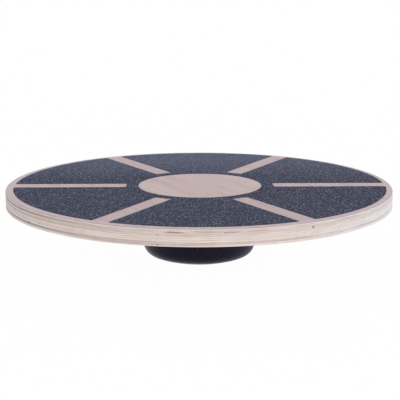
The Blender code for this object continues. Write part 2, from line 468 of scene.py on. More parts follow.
# %% Scuffs in three directions
SCUFF_TURNS = (0.3, 1.4, 2.5)
SCUFF_STRETCH = (0.04, 1.0, 0.35)


def make_scuffs():
    tree, given, out = new_group("fine_scuffs", {"Scale": 900.0, "Amount": 0.5}, ["Mask"])
    lines = 0.0
    for turn in SCUFF_TURNS:
        place = stretched(tree, given["Vector"], SCUFF_STRETCH, turn)
        line = between(tree, noise(tree, place, given["Scale"], 1.0), 0.66, 0.74)
        lines = sums(tree, "MAXIMUM", lines, line)
    patch = between(tree, noise(tree, given["Vector"], 22.0), 0.42, 0.62)
    feed(tree, times(tree, times(tree, lines, patch), given["Amount"]), out["Mask"])
    return tree


fine_scuffs = make_scuffs()

# %% [markdown]
# ## Veneer finish
# The deck's face is a sheet peeled off a log, so its grain runs one way in long soft streaks with
# short dark pores between them, under a thin clear coat. It could be painted, but noise that is
# stretched along the grain holds at any zoom. The same group serves the face and the back.

# %% Grain of a peeled veneer
GRAIN_LONG = 0.05


def make_veneer_grain():
    inputs = {"Light": (0.5, 0.4, 0.4, 1.0), "Dark": (0.3, 0.2, 0.2, 1.0), "Pores": 0.3}
    tree, given, out = new_group("veneer_grain", inputs, ["Color", "Height", "Roughness"])
    along = stretched(tree, given["Vector"], (GRAIN_LONG, 1.0, 1.0))
    figure = noise(tree, along, 45.0, 3.0, 0.55, 0.8)
    streak = noise(tree, along, 220.0, 4.0, 0.6, 0.3)
    fibre = noise(tree, along, 1500.0, 2.0, 0.6)
    pore = between(tree, noise(tree, stretched(tree, along, (2.0, 1.0, 1.0)), 1100.0, 1.0), 0.64, 0.72)
    fleck = between(tree, noise(tree, stretched(tree, along, (3.0, 1.0, 1.0)), 260.0, 1.0), 0.68, 0.76)
    shade = sums(tree, "MULTIPLY_ADD", figure, 0.6, times(tree, streak, 0.4))
    base = mixed(tree, between(tree, shade, 0.34, 0.68), given["Light"], given["Dark"])
    pored = mixed(tree, times(tree, pore, given["Pores"]), base, given["Dark"], "MULTIPLY")
    flecked = mixed(tree, times(tree, fleck, 0.5), pored, given["Light"])
    feed(tree, flecked, out["Color"])
    feed(tree, sums(tree, "SUBTRACT", fibre, pore), out["Height"])
    feed(tree, between(tree, streak, 0.3, 0.7, 0.38, 0.52), out["Roughness"])
    return tree


veneer_grain = make_veneer_grain()

# %% [markdown]
# ## Ply edges
# On the sawn and sanded edge each ply shows its grain end-on or side-on, and which one it is
# changes round the deck: where the grain points out of the edge it is end grain, darker and
# speckled with pores, and a quarter turn further on it is side grain, pale with long streaks.
# The group works out the direction of the edge from the place on it, so the plies change over
# round the deck by themselves.


# %% Place on the unrolled edge
def make_edge_place():
    """Unroll the edge: along it and up it. The angle is counted from the front, rightwards."""
    tree, given, out = new_group("edge_place", {}, ["Along", "Up", "Angle"])
    x, y, z = apart(tree, given["Vector"])
    angle = sums(tree, "ARCTAN2", x, times(tree, y, -1.0))
    feed(tree, times(tree, angle, DECK_RADIUS), out["Along"])
    feed(tree, z, out["Up"])
    feed(tree, angle, out["Angle"])
    return tree


edge_place = make_edge_place()


# %% Side grain and end grain
CREAM_TINT = (1.0, 0.97, 0.9, 1.0)
PINK_TINT = (0.97, 0.94, 0.97, 1.0)
# Cool grey painted on the sides of the edge, a painted tint for the cooler light there
PAINTED_COOL_LIGHT = (0.92, 0.94, 1.0, 1.0)
WARM_SIDE = radians(15)


def warm_tint(tree, vector, scale):
    """Soft clouds of cream and pink."""
    hue = noise(tree, vector, scale)
    return mixed(tree, between(tree, hue, 0.35, 0.65), CREAM_TINT, PINK_TINT)


def make_edge_grain():
    inputs = {"Side": (0.6, 0.5, 0.4, 1.0), "End": (0.4, 0.3, 0.2, 1.0), "Grain Turn": 0.0, "Seed": 0.0}
    tree, given, out = new_group("ply_edge_grain", inputs, ["Color", "Height", "Roughness"])
    place = use_group(tree, edge_place, Vector=given["Vector"])
    facing = sums(tree, "COSINE", sums(tree, "SUBTRACT", place["Angle"], given["Grain Turn"]))
    end_share = between(tree, sums(tree, "ABSOLUTE", facing), 0.8, 1.0)
    unrolled = wired(tree, "CombineXYZ", place["Along"], place["Up"], given["Seed"]).outputs[0]
    streaks = noise(tree, stretched(tree, unrolled, (0.04, 1.0, 1.0)), 900.0, 4.0, 0.65, 0.2)
    broad = noise(tree, stretched(tree, unrolled, (0.25, 1.0, 1.0)), 70.0)
    speckle = noise(tree, stretched(tree, unrolled, (1.0, 0.6, 1.0)), 1900.0, 3.0, 0.7)
    side_tone = between(tree, sums(tree, "MULTIPLY_ADD", broad, 0.5, streaks), 0.62, 0.9)
    end_tone = between(tree, sums(tree, "MULTIPLY_ADD", broad, 0.5, speckle), 0.6, 0.95)
    tone = sums(tree, "MULTIPLY_ADD", end_share, sums(tree, "SUBTRACT", end_tone, side_tone), side_tone)
    plain = mixed(tree, end_share, given["Side"], given["End"])
    marked = mixed(tree, times(tree, tone, 0.5), plain, given["End"], "MULTIPLY")
    warm = warm_tint(tree, stretched(tree, unrolled, (0.15, 1.0, 1.0)), 110.0)
    # Away from the warm front the edge is painted a cooler grey: a painted tint for the cooler light on
    # its sides.
    from_warm = sums(tree, "ABSOLUTE", sums(tree, "ADD", place["Angle"], WARM_SIDE))
    cool_light_share = between(tree, from_warm, radians(20), radians(75))
    tint = mixed(tree, cool_light_share, warm, PAINTED_COOL_LIGHT)
    feed(tree, mixed(tree, 1.0, marked, tint, "MULTIPLY"), out["Color"])
    feed(tree, tone, out["Height"])
    feed(tree, between(tree, end_share, 0.0, 1.0, 0.48, 0.7), out["Roughness"])
    return tree


edge_grain = make_edge_grain()

# %% [markdown]
# ## Blemishes
# Plywood's inner plies are the log's plainer wood: small knots, resin streaks and gaps show on
# the edge, and long bands of painted shade lie along some plies. Each is an ellipse on the
# unrolled edge with a broken outline. Its mask darkens the wood and sinks it a little.


# %% One blemish on the edge
def make_blemish():
    inputs = {"Along": 0.0, "Up": 0.0, "Half Length": 0.001, "Half Height": 0.001}
    tree, given, out = new_group("edge_blemish", inputs, ["Mask"])
    place = use_group(tree, edge_place, Vector=given["Vector"])
    offs = []
    for label, half in (("Along", "Half Length"), ("Up", "Half Height")):
        off = sums(tree, "SUBTRACT", place[label], given[label])
        offs.append(sums(tree, "DIVIDE", off, given[half]))
    reach = hypotenuse(tree, *offs)
    ragged = sums(tree, "MULTIPLY_ADD", noise(tree, given["Vector"], 1500.0, 3.0, 0.6), 0.9, reach)
    feed(tree, between(tree, ragged, 1.05, 1.5, 1.0, 0.0), out["Mask"])
    return tree


edge_blemish = make_blemish()

# %% Where the blemishes are
KNOT = colour(58, 46, 46)
STREAK = colour(140, 106, 84)
RUST = colour(196, 152, 122)
SHADE = colour(136, 126, 118)
OCHRE = colour(204, 188, 166)
# SHADOW is painted shade, laid as long darker bands along some plies
SHADOW = colour(176, 160, 154)
LIGHTER = colour(206, 192, 186)
FRONT = 270

# Angle round the deck, then in millimetres the depth under its top, half length and half height,
# then the colour. Long streaks come first, so that the small marks lie over them.
BLEMISHES = (
    (203.0, 12.6, 50.0, 0.5, SHADOW),
    (206.0, 14.5, 70.0, 0.6, LIGHTER),
    (206.0, 4.9, 55.0, 0.6, LIGHTER),
    (243.0, 12.4, 80.0, 0.5, SHADOW),
    (256.0, 15.1, 80.0, 0.6, SHADOW),
    (272.0, 2.5, 20.0, 0.6, SHADOW),
    (263.7, 3.4, 11.0, 0.7, STREAK),
    (269.6, 3.8, 15.0, 0.6, OCHRE),
    (278.7, 3.3, 9.0, 0.5, SHADE),
    (276.9, 3.7, 1.2, 0.5, KNOT),
    (285.2, 3.1, 9.5, 0.7, RUST),
    (301.7, 4.7, 1.2, 1.3, KNOT),
    (262.6, 1.8, 0.5, 0.7, SHADE),
    (264.6, 1.8, 0.4, 0.6, SHADE),
    (269.3, 1.6, 0.4, 0.7, SHADE),
    (259.2, 6.0, 1.2, 0.6, SHADE),
    (252.6, 10.5, 1.0, 0.6, OCHRE),
    (259.2, 15.2, 1.0, 0.5, KNOT),
    (205.8, 6.7, 1.0, 1.2, KNOT),
    (204.0, 9.3, 0.8, 0.7, SHADE),
    (215.0, 13.1, 2.8, 0.6, KNOT),
    (220.7, 10.8, 0.8, 0.7, SHADE),
    (311.9, 14.2, 0.9, 0.8, SHADE),
    (323.0, 3.4, 7.5, 1.4, OCHRE),
    (326.2, 3.4, 0.6, 0.6, SHADE),
    (321.1, 6.0, 0.8, 0.6, SHADE),
    (40.0, 6.2, 8.0, 0.4, STREAK),
    (71.0, 11.8, 1.0, 0.9, KNOT),
    (118.0, 3.5, 6.0, 0.5, SHADE),
    (146.0, 9.7, 0.9, 0.9, KNOT),
)


def edge_angle(degrees):
    """An angle round the deck as the edge counts it: zero at the front, up to half a turn each way."""
    return (radians(degrees - FRONT) + pi) % (2 * pi) - pi


# %% Material of one ply's edge
# Side grain and end grain of each wood in the deck
PALE = (colour(227, 216, 210), colour(225, 213, 206))
CLEAR = (colour(226, 216, 211), colour(222, 208, 200))
TAN = (colour(215, 202, 194), colour(216, 203, 194))
MIDDLING = (colour(219, 208, 203), colour(202, 184, 175))
DARK = (colour(217, 205, 199), colour(174, 154, 145))
GLUE = colour(150, 124, 104)
GLUE_HEIGHT = 0.0003
BLEMISH_STRENGTH = 0.85
BLEMISH_DEPTH = 2.0
MM = 0.001


def make_ply(name, turn, wood, seed, low, high):
    """Edge grain, then the glue line under the ply, then the blemishes that lie on it."""
    material, tree, shader = new_material(name, Coat_Weight=0.08, Coat_Roughness=0.3, IOR=IOR)
    place = object_place(tree)
    side, end = wood
    grain = use_group(tree, edge_grain, Vector=place, Side=side, End=end, Grain_Turn=turn, Seed=seed)
    height = grain["Height"]
    thick = patches(tree, place, 60.0, 4.0, 0.7, 0.4, 0.7, low, low + GLUE_HEIGHT)
    glue = between(tree, apart(tree, place)[2], thick, sums(tree, "ADD", thick, 0.0001), 1.0, 0.0)
    shade = mixed(tree, glue, grain["Color"], GLUE)
    for angle, *sizes, dark in BLEMISHES:
        depth, half_length, half_height = (size * MM for size in sizes)
        level = DECK_TOP - depth
        if not low - half_height < level < high + half_height:
            continue
        size = {"Half_Length": half_length, "Half_Height": half_height}
        along = edge_angle(angle) * DECK_RADIUS
        spot = use_group(tree, edge_blemish, Vector=place, Along=along, Up=level, **size)
        shade = mixed(tree, times(tree, spot["Mask"], BLEMISH_STRENGTH), shade, dark)
        height = sums(tree, "SUBTRACT", height, times(tree, spot["Mask"], BLEMISH_DEPTH))
    dress(tree, shader, shade, grain["Roughness"], height, distance=0.00005, strength=0.5)
    return material


# %% Material of the face and the back
# Light and dark of the grain, the rim and the line along the arris
FACE_WOOD = (colour(184, 163, 157), colour(170, 146, 141), colour(180, 163, 167), colour(160, 134, 130))
BACK_WOOD = (colour(214, 198, 180), colour(192, 170, 148), colour(190, 176, 160), colour(150, 132, 116))

# Out from the centre the stripes are a touch darker, the rim is cooler and greyer, and a thin
# broken line just inside the arris is darker
STRIPE_START = 0.066
STRIPE_FULL = 0.080
STRIPE_TINT = (0.92, 0.9, 0.93, 1.0)
RIM_START = DECK_RADIUS - 0.012
RIM_FULL = DECK_RADIUS - 0.007
LINE_START = DECK_RADIUS - 0.0016
LINE_FULL = DECK_RADIUS - 0.0009
SHEEN_BLUE = (0.64, 0.68, 1.0, 1.0)


def make_veneer(name, wood, coat, pores, turn):
    """Grain and scuffs, then the tints of the stripes, the rim and the arris."""
    light, dark, rim, arris_line = wood
    gloss = {"Coat_Weight": coat, "Coat_Roughness": 0.25, "IOR": IOR, "Specular_IOR_Level": 0.1}
    bloom = {"Sheen_Weight": 0.1, "Sheen_Tint": SHEEN_BLUE}
    material, tree, shader = new_material(name, **gloss, **bloom)
    place = stretched(tree, object_place(tree), (1.0, 1.0, 1.0), turn)
    grain = use_group(tree, veneer_grain, Vector=place, Light=light, Dark=dark, Pores=pores)
    scuff = use_group(tree, fine_scuffs, Vector=place, Scale=700.0, Amount=0.25)["Mask"]
    scuffed = mixed(tree, scuff, grain["Color"], light, "SCREEN")
    shade = mixed(tree, 1.0, scuffed, warm_tint(tree, place, 35.0), "MULTIPLY")
    out = from_axis(tree, place)
    shade = mixed(tree, between(tree, out, STRIPE_START, STRIPE_FULL), shade, STRIPE_TINT, "MULTIPLY")
    shade = mixed(tree, between(tree, out, RIM_START, RIM_FULL, 0.0, 0.6), shade, rim)
    broken = patches(tree, place, 90.0, 3.0, 0.6, 0.4, 0.65, 0.0, 0.8)
    line = times(tree, between(tree, out, LINE_START, LINE_FULL), broken)
    shade = mixed(tree, line, shade, arris_line)
    rough = sums(tree, "MULTIPLY_ADD", scuff, 0.3, grain["Roughness"])
    dress(tree, shader, shade, rough, grain["Height"], distance=0.00003, strength=0.6)
    return material


# %% [markdown]
# ## Plies
# The deck is nine sheets glued together. Each is drawn from a short profile, finely enough that
# the edge stays round in a close view. The top and the back have a sanded arris; the plies
# between have only a hair of rounding, and stand on the glue that fills the gap to the next.
# Sanding leaves soft wood a little lower than hard, so the edge gets a slight cloudy relief.

# %% Profile of one ply
PLY_STEPS = 1080
EDGE_ROWS = 4
CAP_RING = 0.006
EDGE_LIMIT = DECK_RADIUS - CAP_RING / 4
FACE_ARRIS = 0.0012
BACK_ARRIS = 0.0004
HAIR = 0.00005
CORNER_STEPS = 5


def ply_profile(low, high, glue_low, top_round, back_round):
    """Cap ring, top corner, edge rows, back corner, glue line and cap ring."""
    top = arc(DECK_RADIUS - top_round, high - top_round, top_round, pi / 2, 0.0, CORNER_STEPS)
    back = arc(DECK_RADIUS - back_round, low + back_round, back_round, 0.0, -pi / 2, CORNER_STEPS)
    start, end = top[-1][1], back[0][1]
    rows = [(DECK_RADIUS, start + (end - start) * i / EDGE_ROWS) for i in range(1, EDGE_ROWS)]
    inner = DECK_RADIUS - CAP_RING
    glue = [(DECK_RADIUS - 2 * HAIR, low), (DECK_RADIUS - 2 * HAIR, glue_low)] if glue_low < low else []
    return [(inner, high)] + top + rows + back + glue + [(inner, min(low, glue_low))]


# %% Bore the pilot holes
SCREW_LOW, SCREW_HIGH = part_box("flange_screw_1")
SCREW_CIRCLE = (SCREW_LOW.x + SCREW_HIGH.x) / 2
SCREW_COUNT = 6
PILOT_RADIUS = 0.0023
PILOT_TOP = SCREW_HIGH.z + 0.0003
CUT_OVER = 0.0020
DRILL_STEPS = 24


def on_screw_circle(obj):
    """Six copies of a helper round the screw circle, made one."""
    turns = [copied(obj, obj.name + str(i)) for i in range(SCREW_COUNT)]
    for index, twin in enumerate(turns):
        settle(twin, turn=2 * pi * index / SCREW_COUNT)
    bpy.data.objects.remove(obj, do_unlink=True)
    return joined(turns)


def bored(ply, low, high):
    """Cut the screws' pilot holes out of a ply."""
    drill = post("pilot_drill", DRILL_STEPS, PILOT_RADIUS, low - CUT_OVER, high + CUT_OVER, SCREW_CIRCLE)
    combined(ply, on_screw_circle(drill), "DIFFERENCE")


# %% Sand the edge
SANDING_GRAIN = 0.0012
SANDING_DEPTH = 0.00005


def sanded(obj):
    """Roughen the round edge of a ply with fine cloud-shaped relief."""
    clouds = bpy.data.textures.new(obj.name + "_sanding", "CLOUDS")
    clouds.noise_scale = SANDING_GRAIN
    edge = obj.vertex_groups.new(name="edge")
    edge.add([v.index for v in obj.data.vertices if hypot(v.co.x, v.co.y) > EDGE_LIMIT], 1.0, "REPLACE")
    place = {"texture_coords": "LOCAL", "vertex_group": "edge"}
    applied(obj, "DISPLACE", texture=clouds, strength=SANDING_DEPTH, **place)


# %% Gaps in the inner plies
# Ply, angle round the deck, half length along the edge and depth
CORE_GAPS = (
    ("lower_long_ply", 96.0, 0.0040, 0.0010),
    ("upper_inner_cross_ply", 24.0, 0.0028, 0.0009),
    ("lower_cross_ply", 152.0, 0.0034, 0.0010),
)
GAP_MARGIN = 0.2


def gapped(obj, angle, half_length, depth):
    """Push the middle rows of a stretch of the edge inwards, as where two inner sheets don't meet."""
    heights = [v.co.z for v in obj.data.vertices]
    margin = (max(heights) - min(heights)) * GAP_MARGIN
    low, high = min(heights) + margin, max(heights) - margin
    for vertex in obj.data.vertices:
        off = (atan2(vertex.co.y, vertex.co.x) - radians(angle) + pi) % (2 * pi) - pi
        reach = abs(off) * DECK_RADIUS / half_length
        on_edge = hypot(vertex.co.x, vertex.co.y) > EDGE_LIMIT
        if on_edge and reach < 1.0 and low < vertex.co.z < high:
            shrink = 1.0 - depth * sqrt(1.0 - reach) / DECK_RADIUS
            vertex.co.x *= shrink
            vertex.co.y *= shrink


# %% Make the nine plies
SEED_STEP = 0.7
CROSS_GRAIN = radians(208 - FRONT)
LONG_GRAIN = radians(298 - FRONT)
PLIES = (
    ("face_veneer", LONG_GRAIN, PALE),
    ("upper_cross_ply", CROSS_GRAIN, DARK),
    ("upper_long_ply", LONG_GRAIN, TAN),
    ("upper_inner_cross_ply", CROSS_GRAIN, MIDDLING),
    ("core_ply", LONG_GRAIN, PALE),
    ("lower_inner_cross_ply", CROSS_GRAIN, CLEAR),
    ("lower_long_ply", LONG_GRAIN, PALE),
    ("lower_cross_ply", CROSS_GRAIN, DARK),
    ("back_veneer", LONG_GRAIN, PALE),
)


def make_ply_piece(index, node, turn, wood):
    low, high = (corner.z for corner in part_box(node))
    last = len(PLIES) - 1
    glue_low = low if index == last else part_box(PLIES[index + 1][0])[1].z
    top_round = FACE_ARRIS if index == 0 else HAIR
    back_round = BACK_ARRIS if index == last else HAIR
    profile = ply_profile(low, high, glue_low, top_round, back_round)
    ply = drawn_round(node + "_sheet", profile, PLY_STEPS)
    if low < PILOT_TOP:
        bored(ply, glue_low, min(high, PILOT_TOP - CUT_OVER))
    for where, angle, half_length, depth in CORE_GAPS:
        if where == node:
            gapped(ply, angle, half_length, depth)
    sanded(ply)
    bpy.ops.object.shade_smooth_by_angle(angle=SMOOTH_ANGLE)
    painted(ply, make_ply(node + "_edge", turn, wood, SEED_STEP * index, glue_low, high))
    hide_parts(node)
    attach(ply, "root")
    return ply


plies = [make_ply_piece(index, *ply) for index, ply in enumerate(PLIES)]
print("plies:", [(ply.name, len(ply.data.polygons)) for ply in plies])


# %% Veneer on the top and the back
def paint_faces(obj, material, test):
    """Give the faces that pass a test a material of their own."""
    obj.data.materials.append(material)
    for face in obj.data.polygons:
        if test(face):
            face.material_index = len(obj.data.materials) - 1


FACE_TURN = radians(FRONT) + LONG_GRAIN
NEARLY_LEVEL = 0.6
face_wood = make_veneer("face_veneer_wood", FACE_WOOD, 0.05, 0.25, -FACE_TURN)
back_wood = make_veneer("back_veneer_wood", BACK_WOOD, 0.1, 0.5, -FACE_TURN)
paint_faces(plies[0], face_wood, lambda face: face.normal.z > NEARLY_LEVEL)
paint_faces(plies[-1], back_wood, lambda face: face.normal.z < -NEARLY_LEVEL)
print("veneers:", face_wood.name, back_wood.name)

# %% [markdown]
# ## Grip sheet
# The grip is one sheet of film with grit bonded to it, like coarse sandpaper. It is drawn as a
# flat ring of fine rings, so that there are points enough for real grit. The slots are cut with
# straight lines across it, their faces are deleted, every point is nudged at random, and the rim
# is folded down for the thickness. It was stuck on by hand, a hair turned and off centre, and
# the cuts at the ends of the slots aren't quite square.

# %% Sizes of the sheet
SHEET_HOLE = 0.0640
SHEET_RADIUS = DECK_RADIUS - 0.0070
SHEET_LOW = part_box("grip_sheet")[0].z
SHEET_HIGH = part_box("grip_sheet")[1].z
SHEET_TURN = radians(1.1)
SHEET_SHIFT = (0.0008, 0.0016, 0.0)
SLOT_START = 0.0756
SHEET_STEPS = 792
SHEET_RINGS = 92

# From the slot on the right: its end out of square, its turn, how much further out it starts and
# its half width
HAND_CUTS = (
    (3.0, 0.0, 0.0010, 0.0097),
    (-1.0, 0.2, 0.0005, 0.0094),
    (1.5, 0.1, 0.0, 0.00935),
    (-1.0, 0.0, 0.0010, 0.0097),
    (-1.5, 0.45, 0.0, 0.0091),
    (1.0, 0.0, 0.0008, 0.0092),
)
SLOTS = [
    (2 * pi * index / len(HAND_CUTS) + radians(turn), tan(radians(skew)), SLOT_START + further, half)
    for index, (skew, turn, further, half) in enumerate(HAND_CUTS)
]


# %% Cut the slots
CUT_REACH = 0.004


def out_and_off(place, turn):
    """How far a place lies out along a slot's middle line, and off it."""
    return place[0] * cos(turn) + place[1] * sin(turn), place[1] * cos(turn) - place[0] * sin(turn)


def pick_faces(obj, test):
    """Select just the faces that pass a test."""
    bpy.ops.mesh.select_mode(type="FACE")
    bpy.ops.mesh.select_all(action="DESELECT")
    bpy.ops.object.mode_set(mode="OBJECT")
    for face in obj.data.polygons:
        face.select = test(face)
    bpy.ops.object.mode_set(mode="EDIT")


def near_slot(turn, reach):
    """A test for faces whose middle lies within reach of a slot's middle line."""

    def test(face):
        out, off = out_and_off(face.center, turn)
        return out > 0 and abs(off) < reach

    return test


def cut_slots(obj):
    """Cut along both sides and the end of every slot."""
    for turn, skew, start, half in SLOTS:
        side = (-sin(turn), cos(turn), 0.0)
        for sign in (-1, 1):
            pick_faces(obj, near_slot(turn, half + CUT_REACH))
            bpy.ops.mesh.bisect(plane_co=[sign * half * v for v in side], plane_no=side)
        pick_faces(obj, near_slot(turn, half))
        square = (cos(turn) + skew * side[0], sin(turn) + skew * side[1], 0.0)
        bpy.ops.mesh.bisect(plane_co=(start * cos(turn), start * sin(turn), 0.0), plane_no=square)


def inside_slot(face):
    for turn, skew, start, half in SLOTS:
        out, off = out_and_off(face.center, turn)
        if abs(off) < half and out > start - off * skew:
            return True
    return False


# %% Thickness and grit
ROUND_OFF = 0.00012
GRIT_HEIGHT = 0.00022
GRIT_SEED = 7
SHEET_WELD = 0.00008
GRIT_SMOOTH = radians(60)


def fold_rim(level):
    """Select the open rim, drop it a little for a rounded edge, and extrude it down to the film."""
    bpy.ops.mesh.select_mode(type="EDGE")
    bpy.ops.mesh.select_all(action="DESELECT")
    others = ("use_wire", "use_multi_face", "use_non_contiguous", "use_verts")
    bpy.ops.mesh.select_non_manifold(**dict.fromkeys(others, False))
    bpy.ops.transform.translate(value=(0.0, 0.0, -ROUND_OFF))
    bpy.ops.mesh.extrude_edges_move(TRANSFORM_OT_translate={"value": (0.0, 0.0, SHEET_LOW - level)})
    bpy.ops.transform.resize(value=(1.0, 1.0, 0.0), center_override=(0.0, 0.0, SHEET_LOW))


def make_sheet():
    step = (SHEET_RADIUS - SHEET_HOLE) / SHEET_RINGS
    level = SHEET_HIGH - GRIT_HEIGHT / 2
    obj = first_ring("grip_sheet_grit", SHEET_STEPS, SHEET_HOLE, level)
    for index in range(SHEET_RINGS):
        next_ring((SHEET_HOLE + index * step, level), (SHEET_HOLE + (index + 1) * step, level))
    cut_slots(obj)
    pick_faces(obj, inside_slot)
    bpy.ops.mesh.delete(type="FACE")
    bpy.ops.mesh.select_all(action="SELECT")
    bpy.ops.mesh.remove_doubles(threshold=SHEET_WELD)
    bpy.ops.transform.vertex_random(offset=GRIT_HEIGHT / 2, normal=1.0, seed=GRIT_SEED)
    fold_rim(level)
    bpy.ops.mesh.fill()
    shut_mesh()
    bpy.ops.object.shade_smooth_by_angle(angle=GRIT_SMOOTH)
    settle(obj, SHEET_TURN, SHEET_SHIFT)
    return obj


# %% Grit finish
GRIT_DARK = colour(23, 24, 30)
GRIT_MIDDLE = colour(54, 57, 65)
# Painted glint of the grains that catch the light
PAINTED_GLINT = colour(166, 168, 182)
# Pale blue of the painted sheen towards the back of the sheet
PAINTED_BACK_SHEEN = colour(150, 156, 180)
GRAINS_PER_METRE = 1300.0


def make_grit():
    bloom = {"Sheen_Weight": 0.15, "Sheen_Tint": SHEEN_BLUE}
    material, tree, shader = new_material("charcoal_grit", Specular_IOR_Level=0.0, **bloom)
    place = object_place(tree)
    # Each cell is a grain, with its bump as Distance and three random values as Color
    grains = wired(tree, "TexVoronoi", place, Scale=GRAINS_PER_METRE)
    tone, glint, gloss = apart(tree, grains.outputs["Color"])
    body = mixed(tree, tone, GRIT_DARK, GRIT_MIDDLE)
    patchy = patches(tree, place, 60.0, 3.0, 0.6, 0.3, 0.7, 0.0, 0.25)
    # A few grains are painted pale: a painted glint for grit that catches the light.
    sparkling = mixed(tree, between(tree, glint, 0.82, 1.0), body, PAINTED_GLINT)
    clumps = patches(tree, place, 520.0, 2.0, 0.7, 0.4, 0.6, 0.0, 0.4)
    plain = mixed(tree, sums(tree, "MAXIMUM", patchy, clumps), sparkling, GRIT_DARK)
    # Towards the back the grit is painted lighter and bluer: a painted sheen for the light that it
    # reflects at a low angle there.
    cloudy = sums(tree, "MULTIPLY_ADD", noise(tree, place, 14.0, 3.0, 0.6), 0.06, apart(tree, place)[1])
    back_sheen = between(tree, cloudy, 0.06, 0.18)
    shade = mixed(tree, times(tree, back_sheen, 0.16), plain, PAINTED_BACK_SHEEN)
    rough = between(tree, gloss, 0.0, 1.0, 0.6, 0.95)
    bulge = between(tree, grains.outputs["Distance"], 0.0, 0.7, 1.0, 0.0)
    height = sums(tree, "MULTIPLY_ADD", tone, 0.7, bulge)
    dress(tree, shader, shade, rough, height, distance=0.00025, strength=0.8)
    return material


sheet = make_sheet()
painted(sheet, make_grit())
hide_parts("grip_sheet")
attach(sheet, "root")
print("grip sheet:", len(sheet.data.polygons), "faces")

# %% [markdown]
# ## Bowl
# The bowl is a hollow injection moulding: a crown that rolls on the floor, a round shoulder, a
# wall with a little draft, and a flange with screw seats. Its inside has a hub and webs. It is
# drawn as one thin-walled profile, inside and out, and the hub, webs and seats are joined or cut
# with Booleans, as in the mould. A small gate mark in the pole and a fine parting line down the
# front and the back are what a real moulding shows.

# %% Sizes of the bowl
BOWL_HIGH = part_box("base_bowl")[1].z
FLANGE_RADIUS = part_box("base_bowl")[1].x
FLANGE_UNDER = BOWL_HIGH - 0.0040
CROWN_RADIUS = 0.1500
POLE_FLAT = 0.0120
SHOULDER = 0.0120
SHOULDER_R = 0.0460
DRAFT = radians(1.5)
WALL = 0.0035
CROWN_Z = sqrt(CROWN_RADIUS**2 - POLE_FLAT**2)
SHOULDER_Z = CROWN_Z - sqrt((CROWN_RADIUS - SHOULDER) ** 2 - SHOULDER_R**2)
CROWN_END = atan2(SHOULDER_Z - CROWN_Z, SHOULDER_R)
EDGE_ROUND = 0.0010
FILLET = 0.0025
INNER_POLE = 0.004
WALL_ROWS = 6
SHOULDER_STEPS = 12
CROWN_STEPS = 16
FILLET_STEPS = 6
print("shoulder's centre", round(SHOULDER_Z * 1000, 1), "mm up")


def wall_radius(height, inset=0.0):
    """The drafted wall's radius at a height, moved in by inset."""
    reach = SHOULDER - inset
    return SHOULDER_R + reach * cos(DRAFT) + (height - SHOULDER_Z + reach * sin(DRAFT)) * tan(DRAFT)


def bowl_side(top, inset, pole):
    """Wall, shoulder and crown from a height down to the pole's radius, moved in by inset."""
    shoulder = arc(SHOULDER_R, SHOULDER_Z, SHOULDER - inset, -DRAFT, CROWN_END, SHOULDER_STEPS)
    stop = asin(pole / (CROWN_RADIUS - inset)) - pi / 2
    crown = arc(0.0, CROWN_Z, CROWN_RADIUS - inset, CROWN_END, stop, CROWN_STEPS)
    rows = [top + (shoulder[0][1] - top) * i / WALL_ROWS for i in range(WALL_ROWS)]
    return [(wall_radius(row, inset), row) for row in rows] + shoulder + crown[1:]


# %% Profile of the shell
GATE_MARK = [(0.0032, 0.0), (0.0028, 0.0003), (0.0010, 0.0003), (0.0008, 0.0001)]


def shell_profile():
    """Up the inner wall, round the flange, down outside and to the gate mark."""
    lip = (wall_radius(BOWL_HIGH, WALL) + EDGE_ROUND / 2, BOWL_HIGH)
    inside = bowl_side(BOWL_HIGH - EDGE_ROUND / 2, WALL, INNER_POLE)[::-1] + [lip]
    edge = FLANGE_RADIUS - EDGE_ROUND
    top_edge = arc(edge, BOWL_HIGH - EDGE_ROUND, EDGE_ROUND, pi / 2, 0.0, CORNER_STEPS)
    low_edge = arc(edge, FLANGE_UNDER + EDGE_ROUND, EDGE_ROUND, 0.0, -pi / 2, CORNER_STEPS)
    fillet_z = FLANGE_UNDER - FILLET
    fillet = arc(wall_radius(fillet_z) + FILLET, fillet_z, FILLET, pi / 2, pi, FILLET_STEPS)
    return inside + top_edge + low_edge + fillet[:-1] + bowl_side(fillet_z, 0.0, POLE_FLAT) + GATE_MARK


# %% Plates for webs
HUB_OUTER = 0.0200
HUB_WALL = 0.0030
WEB = 0.0025
WEB_DROP = 0.0005
GUSSET_REACH = 0.0120
GUSSET_HEIGHT = 0.0160
WEB_ROUND = 0.0003
HUB_STEPS = 96
BOWL_STEPS = 288


def drawn_plate(name, outline, thickness):
    """A flat plate in the XZ plane: a point extruded round its outline, filled and thickened."""
    deselect()
    start = (outline[0][0], -thickness / 2, outline[0][1])
    bpy.ops.mesh.primitive_plane_add(size=0.001, location=start)
    bpy.ops.object.transform_apply(location=True)
    obj = bpy.context.object
    obj.name = obj.data.name = name
    open_mesh()
    bpy.ops.mesh.merge(type="CENTER")
    for (x_a, z_a), (x_b, z_b) in zip(outline, outline[1:] + outline[:1]):
        move = {"value": (x_b - x_a, 0.0, z_b - z_a)}
        bpy.ops.mesh.extrude_vertices_move(TRANSFORM_OT_translate=move)
    bpy.ops.mesh.select_all(action="SELECT")
    bpy.ops.mesh.remove_doubles(threshold=WELD)
    bpy.ops.mesh.edge_face_add()
    bpy.ops.mesh.extrude_region_move(TRANSFORM_OT_translate={"value": (0.0, thickness, 0.0)})
    shut_mesh()
    print(name, "plate:", len(obj.data.polygons), "faces")
    return obj


